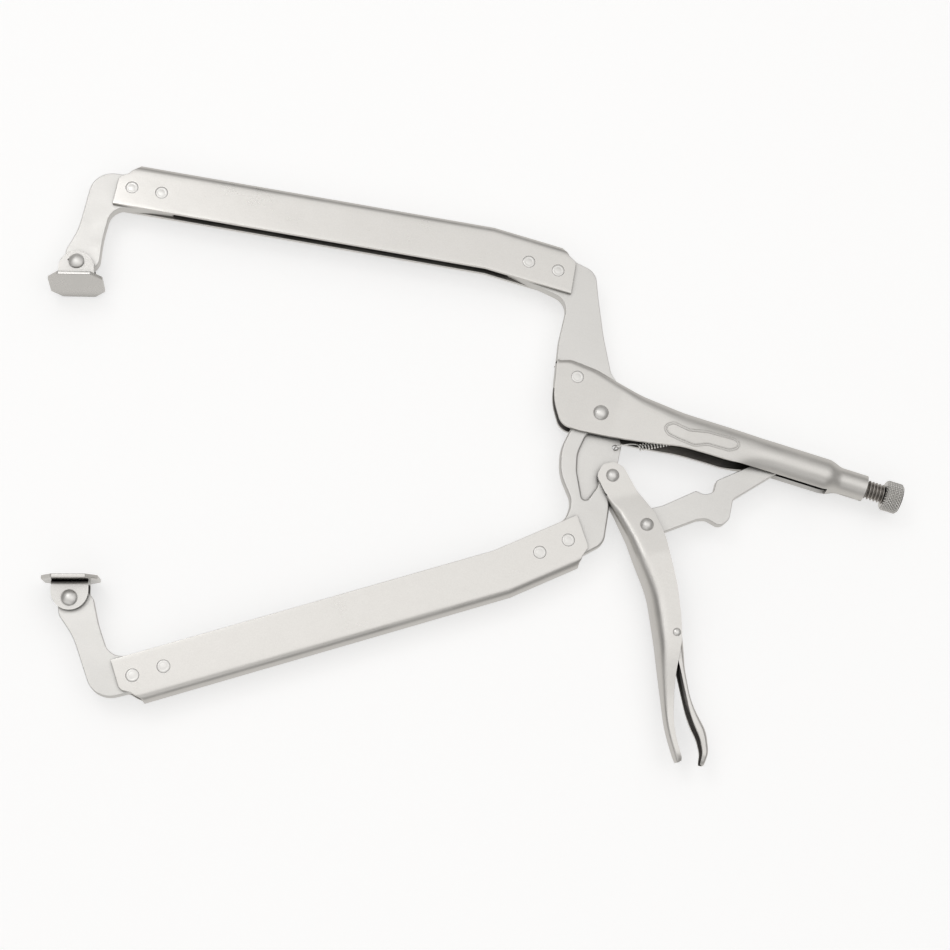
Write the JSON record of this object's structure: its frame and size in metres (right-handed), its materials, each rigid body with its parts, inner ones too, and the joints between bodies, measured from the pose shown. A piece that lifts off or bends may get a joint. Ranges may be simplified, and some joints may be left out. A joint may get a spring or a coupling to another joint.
{
  "type": "locking C-clamp pliers",
  "caption": "Long-reach locking clamp pliers: two arms with swivel pads, toggle lever, release lever and adjusting screw.",
  "frame": {"origin": "under the middle of the tool's box, on the surface that it lies on", "axes": "+X along the handle towards the knob, +Y from the lever side to the back of the fixed arm, +Z across the tool, up as it lies on its side"},
  "size_m": [0.4548, 0.298, 0.0281],
  "materials": {
    "satin_nickel": "satin nickel plate over pressed sheet steel",
    "plate_nickel": "tumbled satin nickel plate over flat steel",
    "rivet_steel": "smooth nickel-plated rivet",
    "pad_steel": "brighter plated pressing",
    "spring_steel": "drawn spring wire",
    "screw_steel": "rolled thread, plated",
    "knob_nickel": "diamond knurl, plated"
  },
  "bodies": {
    "handle": {"handle_body": "satin_nickel", "fixed_jaw_root": "plate_nickel", "fixed_jaw_rivet": "rivet_steel", "main_pivot_rivet": "rivet_steel", "spring_anchor_pin": "rivet_steel", "return_spring": "spring_steel", "upper_arm_channel": "satin_nickel", "upper_tip_plate": "plate_nickel", "upper_rear_rivets": "rivet_steel", "upper_front_rivets": "rivet_steel"},
    "upper_swivel": {"upper_pad_rivet": "rivet_steel"},
    "upper_pad": {"upper_pad_bracket": "pad_steel", "upper_pad_plate": "pad_steel"},
    "moving_jaw": {"lower_jaw": "plate_nickel", "lower_arm_channel": "satin_nickel", "lower_tip_plate": "plate_nickel", "lower_rear_rivets": "rivet_steel", "lower_front_rivets": "rivet_steel", "lever_pivot_rivet": "rivet_steel", "spring_hook": "spring_steel"},
    "lower_swivel": {"lower_pad_rivet": "rivet_steel"},
    "lower_pad": {"lower_pad_bracket": "pad_steel", "lower_pad_plate": "pad_steel"},
    "closing_lever": {"lever": "satin_nickel", "link_pivot_rivet": "rivet_steel", "release_pivot_rivet": "rivet_steel"},
    "link": {"toggle_link": "plate_nickel"},
    "release": {"release_lever": "satin_nickel"},
    "screw": {"adjusting_screw": "screw_steel"},
    "knob_turning": {"knob": "knob_nickel"}
  },
  "joints": [
    {"name": "jaw_pivot", "type": "hinge", "parent": "handle", "child": "moving_jaw", "pos_m": [0.06502, 0.06612, 0.0132], "axis": [0, 0, -1], "range_deg": [0, 29], "stiffness_Nm_per_rad": 0.6, "springref_deg": -34.38},
    {"name": "lever_pivot", "type": "hinge", "parent": "moving_jaw", "child": "closing_lever", "pos_m": [0.07992, 0.03562, 0.0132], "axis": [0, 0, 1], "range_deg": [0, 84]},
    {"name": "link_pivot", "type": "hinge", "parent": "closing_lever", "child": "link", "pos_m": [0.10362, 0.01532, 0.0132], "axis": [0, 0, -1], "range_deg": [0, 76]},
    {"name": "release_pivot", "type": "hinge", "parent": "closing_lever", "child": "release", "pos_m": [0.13262, -0.03398, 0.0132], "axis": [0, 0, -1], "range_deg": [0, 5]},
    {"name": "screw_travel", "type": "slide", "parent": "handle", "child": "screw", "axis": [1, 0, 0], "range_m": [-0.002, 0.018]},
    {"name": "knob_turn", "type": "hinge", "parent": "screw", "child": "knob_turning", "pos_m": [0.22502, 0.07142, 0.0132], "axis": [1, 0, 0], "range_deg": [-410, 3610]},
    {"name": "upper_pad_swivel", "type": "hinge", "parent": "handle", "child": "upper_swivel", "pos_m": [-0.21683, 0.05898, 0.0132], "axis": [0, 0, 1], "range_deg": [-37, 5]},
    {"name": "upper_pad_rock", "type": "hinge", "parent": "upper_swivel", "child": "upper_pad", "pos_m": [-0.21683, 0.05898, 0.0132], "axis": [-0.9542, -0.299, 0], "range_deg": [-10, 2]},
    {"name": "lower_pad_swivel", "type": "hinge", "parent": "moving_jaw", "child": "lower_swivel", "pos_m": [-0.16017, -0.10866, 0.0132], "axis": [0, 0, 1], "range_deg": [-1, 41]},
    {"name": "lower_pad_rock", "type": "hinge", "parent": "lower_swivel", "child": "lower_pad", "pos_m": [-0.16017, -0.10866, 0.0132], "axis": [0.9521, 0.3057, 0], "range_deg": [-11, 1]}
  ],
  "couplings": [
    {"joint": "lever_pivot", "follows": "jaw_pivot", "ratio": 2.8793},
    {"joint": "link_pivot", "follows": "jaw_pivot", "ratio": 2.5969},
    {"joint": "knob_turn", "follows": "screw_travel", "rad_per_m": 3490.7}
  ]
}
